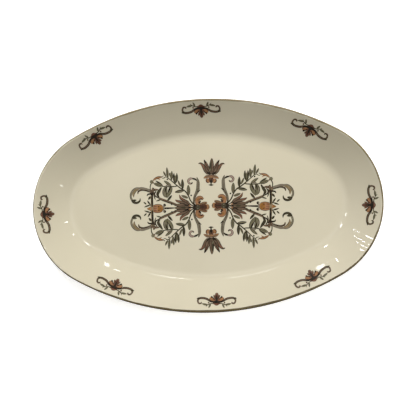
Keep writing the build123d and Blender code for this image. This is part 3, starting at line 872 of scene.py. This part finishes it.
def make_transfers():
    """Every transfer, each motif drawn once and laid in its places."""
    spray = centre_spray()
    for node, (x, y, angle, size) in FLOOR_SPRAYS.items():
        transfer(node + "_print", node, spray, (x, y), math.radians(angle), size)
    flower = tulip()
    for node, (x, y, angle, size) in TULIPS.items():
        transfer(node + "_print", node, flower, (x, y), math.radians(angle), size)
    small = rim_spray()
    for node, (arc, angle, inset, lean) in RIM_SPRAYS.items():
        lead = math.radians(angle)
        if arc == "end":
            centre = (math.copysign(END_X, math.cos(lead)), 0)
            radius = END_RADIUS
        else:
            centre = (0, -math.copysign(SIDE_Y, math.sin(lead)))
            radius = SIDE_RADIUS
        knot = (
            centre[0] + (radius - inset) * math.cos(lead),
            centre[1] + (radius - inset) * math.sin(lead),
        )
        transfer(node + "_print", node, small, knot, math.radians(angle - 90 + lean))


# ---------------------------------------------------------------------------
# The pieces.

dish = glazed_dish()
dish.data.materials.append(IVORY)
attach(dish, "root")
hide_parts("dish_glaze")

# The brushed line round the lip: how high it stands and how many rows cross it. Then, by
# the share of the way round from +X, how far its inner and outer edges are from the
# crest, in degrees of the lip's arc.
BAND_TOP = 0.12
BAND_ROWS = 8
# The edges waver as real brushing does, but the extra width towards the front (-Y), from about
# 0.68 to 0.90 of the way round, is partly painted shade.
LINE_EDGES = [
    (0.00, 6, -62),
    (0.12, 14, -58),
    (0.25, 24, -44),
    (0.37, 16, -36),
    (0.47, -16, -60),
    (0.53, -22, -60),
    (0.60, 4, -66),
    (0.68, 34, -78),
    (0.78, 46, -80),
    (0.90, 22, -74),
    (1.00, 6, -62),
]


def line_outline(i):
    """Column i of the oval with the line's two edges there, in radians from the crest."""
    share = i / len(COLUMNS)
    t = 2 * math.pi * share
    shares, inner_edges, outer_edges = zip(*LINE_EDGES)
    inner = float(np.interp(share, shares, inner_edges))
    inner += 6 * math.sin(3 * t + 1.0) * math.sin(7 * t)
    inner += 4 * math.sin(19 * t) + 3 * math.sin(43 * t)
    outer = float(np.interp(share, shares, outer_edges)) + 4 * math.sin(23 * t + 0.6)
    return (*COLUMNS[i], math.radians(inner), math.radians(outer))


def lip_line():
    """The brushed line over the lip: a thin closed ring whose edges waver."""
    count = len(COLUMNS)
    outlines = [line_outline(i) for i in range(count)]
    outwards = [(BAND_TOP, k / BAND_ROWS) for k in range(BAND_ROWS + 1)]
    back = [(0.0, 1 - k / BAND_ROWS) for k in range(BAND_ROWS + 1)]
    vertices = []
    for lift, share in outwards + back:
        radius = LIP_RADIUS + lift
        for x, y, r, c, s, inner, outer in outlines:
            angle = inner + (outer - inner) * share
            u = LIP_CENTRE[0] + radius * math.sin(angle)
            z = LIP_CENTRE[1] + radius * math.cos(angle)
            px = x + (r - u) * c
            py = y + (r - u) * s
            vertices.append((px, py, z + float(warp(px, py))))
    rings = len(outwards) + len(back)
    faces = join_rings(rings, count)
    last = (rings - 1) * count
    for i in range(count):
        j = (i + 1) % count
        faces.append((last + i, last + j, j, i))
    return new_object("lip_line", vertices, [face[::-1] for face in faces])


line = lip_line()
line.data.materials.append(LIP_LINE)
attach(line, "root")
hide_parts("lip_band")

make_transfers()

for node, material in (("china_body", CLAY), ("base_glaze", IVORY)):
    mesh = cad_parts[node].data
    mesh.materials.clear()
    mesh.materials.append(material)

# ---------------------------------------------------------------------------
# The floor, the lights and the camera.

# How strongly the floor glows, and how much more of that the camera sees.
FLOOR_GLOW = 0.3
CAMERA_GLOW = 0.2


def studio_floor():
    """A wide pale floor under the platter."""
    size = 3.0
    corners = [(-size, -size, 0), (size, -size, 0), (size, size, 0), (-size, size, 0)]
    mesh = bpy.data.meshes.new("floor")
    mesh.from_pydata(corners, [], [(0, 1, 2, 3)])
    floor = bpy.data.objects.new("floor", mesh)
    bpy.context.scene.collection.objects.link(floor)
    material = bpy.data.materials.new("pale_floor")
    material.use_nodes = True
    nodes = material.node_tree.nodes
    links = material.node_tree.links
    shader = nodes["Principled BSDF"]
    shader.inputs["Base Color"].default_value = (0.97, 0.97, 0.97, 1)
    shader.inputs["Roughness"].default_value = 1.0
    shader.inputs["Emission Color"].default_value = (1, 1, 1, 1)
    rays = nodes.new("ShaderNodeLightPath")
    glow = nodes.new("ShaderNodeMath")
    glow.operation = "MULTIPLY_ADD"
    glow.inputs[1].default_value = CAMERA_GLOW
    glow.inputs[2].default_value = FLOOR_GLOW
    links.new(rays.outputs["Is Camera Ray"], glow.inputs[0])
    links.new(glow.outputs["Value"], shader.inputs["Emission Strength"])
    mesh.materials.append(material)


def area_light(name, place, size, power, mirrored=True):
    """A soft rectangular white light that faces the platter."""
    lamp = bpy.data.lights.new(name, "AREA")
    lamp.shape = "RECTANGLE"
    lamp.size, lamp.size_y = size
    lamp.energy = power
    holder = bpy.data.objects.new(name, lamp)
    bpy.context.scene.collection.objects.link(holder)
    holder.location = place
    holder.rotation_euler = (-Vector(place)).to_track_quat("-Z", "Y").to_euler()
    holder.visible_glossy = mirrored


def window_light(name, place, size, radiance):
    """A small distant pane or lamp, which shows as a spark in the glaze."""
    area_light(name, place, size, radiance * math.pi * size[0] * size[1])


studio_floor()
area_light("key", (0.0, 1.6, 1.5), (1.8, 1.0), 36.0, mirrored=False)
area_light("left_fill", (-1.8, 0.0, 1.2), (1.0, 1.4), 9.5, mirrored=False)
area_light("right_fill", (1.8, 0.0, 1.2), (1.0, 1.4), 21.0, mirrored=False)

# The room's far panes, tubes and lamps: place and size in metres, and radiance. The glaze
# mirrors each on the side of the platter that is away from it.
ROOM_LIGHTS = [
    ("pane", (-0.55, 1.63, 0.83), (0.020, 0.055), 15),
    ("tube_high", (-1.32, 0.91, 0.98), (0.012, 0.14), 34),
    ("tube_middle", (-1.27, 1.07, 0.86), (0.012, 0.18), 34),
    ("tube_low", (-1.22, 1.16, 0.80), (0.010, 0.15), 34),
    ("tube_far", (-1.38, 0.97, 0.78), (0.014, 0.12), 34),
    ("bulb_back_left_high", (-0.72, 0.62, 1.69), (0.10, 0.22), 20),
    ("bulb_left_high", (-0.94, 0.42, 1.62), (0.09, 0.20), 16),
    ("bulb_back", (-0.51, 1.34, 1.30), (0.08, 0.20), 34),
    ("bulb_back_far", (-0.67, 1.58, 0.81), (0.022, 0.05), 44),
    ("bulb_left_low", (-1.17, 1.25, 0.74), (0.016, 0.045), 40),
    ("strip_back_left", (-0.04, 1.33, 1.43), (0.09, 0.16), 9),
    ("strip_back_right", (-0.23, 1.30, 1.43), (0.11, 0.16), 7),
    ("bulb_right", (1.24, 0.50, 1.34), (0.04, 0.09), 15),
    ("bulb_right_high", (0.98, 0.91, 1.36), (0.07, 0.14), 18),
    ("strip_right_high", (0.11, 0.74, 1.84), (0.14, 0.16), 16),
    ("pane_right", (0.24, 1.60, 1.07), (0.024, 0.055), 15),
    ("pane_right_low", (0.19, 1.62, 1.04), (0.03, 0.012), 15),
    ("bulb_front_right", (1.23, -0.68, 1.26), (0.022, 0.05), 15),
]
for name, place, size, radiance in ROOM_LIGHTS:
    window_light(name, place, size, radiance)


def studio_dome(stops, strength):
    """Soft light from all round, by height in the sky: 0 at the horizon, 1 overhead."""
    world = bpy.data.worlds.new("studio")
    world.use_nodes = True
    nodes = world.node_tree.nodes
    links = world.node_tree.links
    coordinates = nodes.new("ShaderNodeTexCoord")
    split = nodes.new("ShaderNodeSeparateXYZ")
    ramp = nodes.new("ShaderNodeValToRGB")
    while len(ramp.color_ramp.elements) < len(stops):
        ramp.color_ramp.elements.new(0.5)
    for element, (height, grey) in zip(ramp.color_ramp.elements, stops):
        element.position = height
        element.color = (grey, grey, grey, 1)
    links.new(coordinates.outputs["Generated"], split.inputs["Vector"])
    links.new(split.outputs["Z"], ramp.inputs["Fac"])
    links.new(ramp.outputs["Color"], nodes["Background"].inputs["Color"])
    nodes["Background"].inputs["Strength"].default_value = strength
    bpy.context.scene.world = world


# A bright narrow ring high in the sky, dark where the camera stands.
studio_dome([(0.0, 0.02), (0.915, 0.02), (0.93, 1.0), (0.943, 1.0), (0.955, 0.01)], 2.5)

# The camera looks down from a little to the right of the middle and a little nearer:
# its tilts and roll in radians, its aim beside the middle of the rim, and its lens.
CAMERA_TILT_X = 0.070
CAMERA_TILT_Y = -0.044
CAMERA_DISTANCE = 664 * MM
CAMERA_ROLL = -0.026
AIM = (3.4 * MM, -3.4 * MM)
FOCAL_LENGTH = 51.9
SENSOR_WIDTH = 36


def place_camera():
    """The camera, aimed beside the middle of the rim and rolled a little."""
    toward = Vector(
        (
            math.sin(CAMERA_TILT_X) * math.cos(CAMERA_TILT_Y),
            math.sin(CAMERA_TILT_Y),
            math.cos(CAMERA_TILT_X) * math.cos(CAMERA_TILT_Y),
        )
    )
    rim_middle = Vector((0, 0, LIP_TOP * MM))
    place = rim_middle + toward * CAMERA_DISTANCE
    level_right = (-toward).cross(Vector((0, 1, 0))).normalized()
    level_up = level_right.cross(-toward)
    right = level_right * math.cos(CAMERA_ROLL) + level_up * math.sin(CAMERA_ROLL)
    up = -level_right * math.sin(CAMERA_ROLL) + level_up * math.cos(CAMERA_ROLL)
    target = rim_middle + right * AIM[0] + up * AIM[1]
    view = (target - place).normalized()
    side = view.cross(up).normalized()
    upright = side.cross(view)
    lens = bpy.data.cameras.new("camera")
    lens.lens = FOCAL_LENGTH
    lens.sensor_width = SENSOR_WIDTH
    camera = bpy.data.objects.new("camera", lens)
    camera.matrix_world = Matrix(
        (
            (side.x, upright.x, -view.x, place.x),
            (side.y, upright.y, -view.y, place.y),
            (side.z, upright.z, -view.z, place.z),
            (0, 0, 0, 1),
        )
    )
    bpy.context.scene.collection.objects.link(camera)
    bpy.context.scene.camera = camera


place_camera()
bpy.context.scene.view_settings.view_transform = "Standard"
